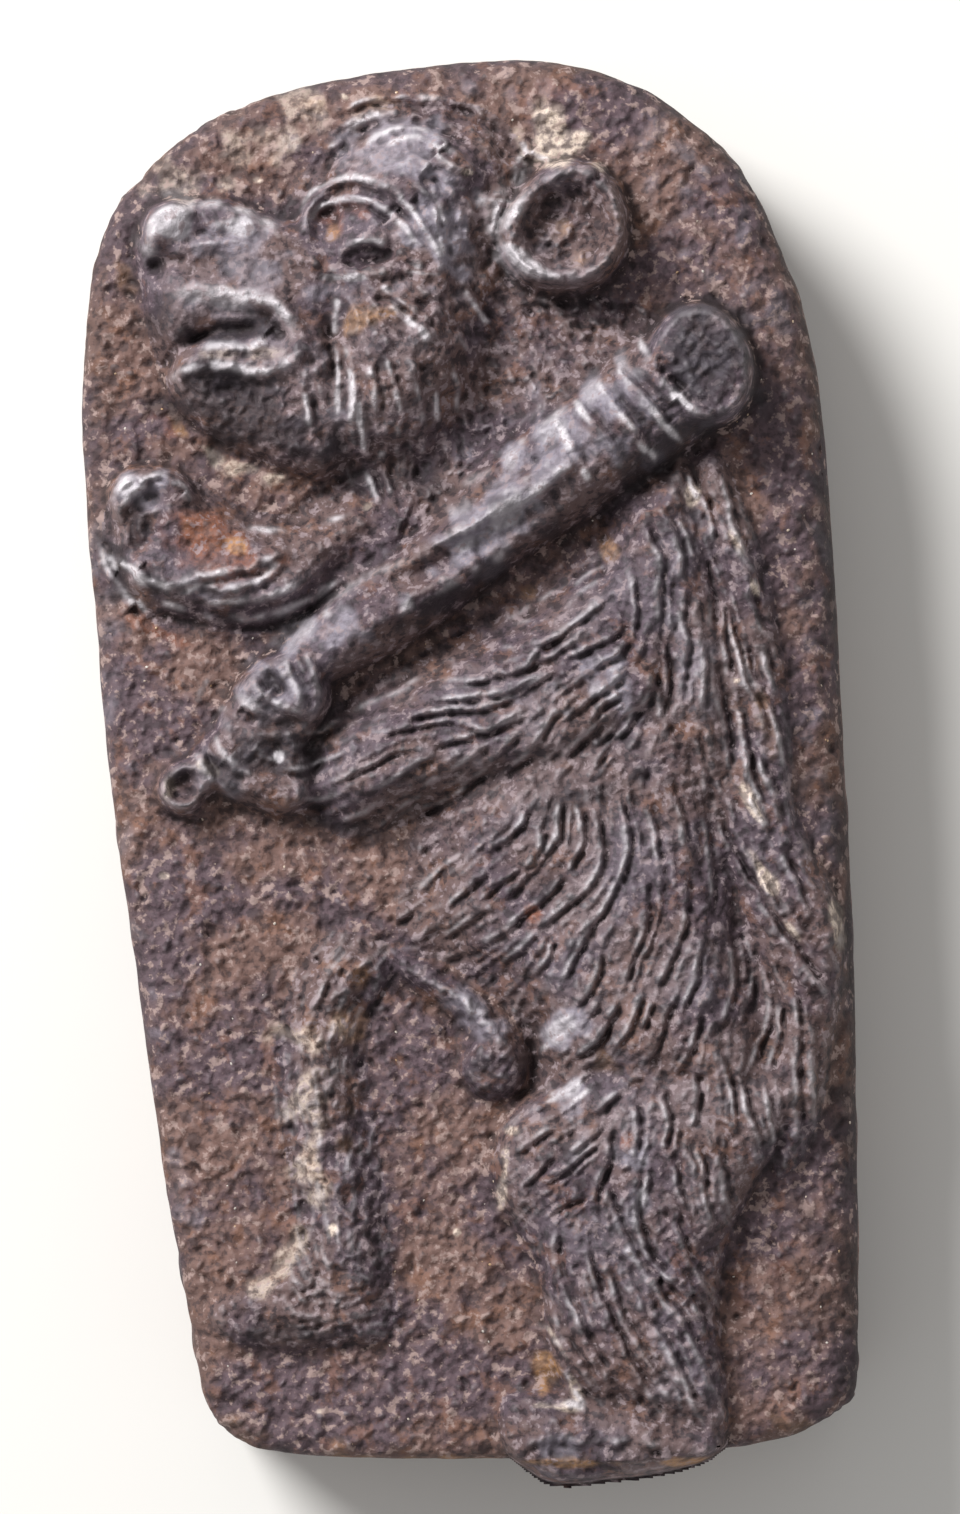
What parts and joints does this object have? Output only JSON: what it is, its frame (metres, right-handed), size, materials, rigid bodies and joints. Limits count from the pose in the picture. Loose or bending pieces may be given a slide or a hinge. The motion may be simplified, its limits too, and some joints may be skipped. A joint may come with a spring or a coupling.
{
  "type": "stone seal matrix",
  "caption": "Round-topped slab of dark stone carved in raised relief with an upright shaggy bear that holds a club, for pressing into wax or clay.",
  "frame": {"origin": "middle of the flat back face", "axes": "+Z out of the carved face, +Y along the slab towards the figure's head, +X to the right of the picture"},
  "size_m": [0.0307, 0.0562, 0.0122],
  "materials": {
    "ground_stone": "matte",
    "relief_stone": "satin"
  },
  "bodies": {
    "root": {"slab": "ground_stone", "skull": "relief_stone", "neck": "relief_stone", "muzzle": "relief_stone", "lower_jaw": "relief_stone", "nose": "relief_stone", "brow": "relief_stone", "eye": "relief_stone", "ear": "relief_stone", "raised_paw": "relief_stone", "raised_claws": "relief_stone", "club_shaft": "relief_stone", "club_head": "relief_stone", "club_butt": "relief_stone", "gripping_paw": "relief_stone", "gripping_fingers": "relief_stone", "forearm": "relief_stone", "shoulder": "relief_stone", "torso": "relief_stone", "back_mane": "relief_stone", "belly_ridge": "relief_stone", "front_leg": "relief_stone", "front_foot": "relief_stone", "rear_leg": "relief_stone", "rear_foot": "relief_stone"}
  },
  "joints": []
}
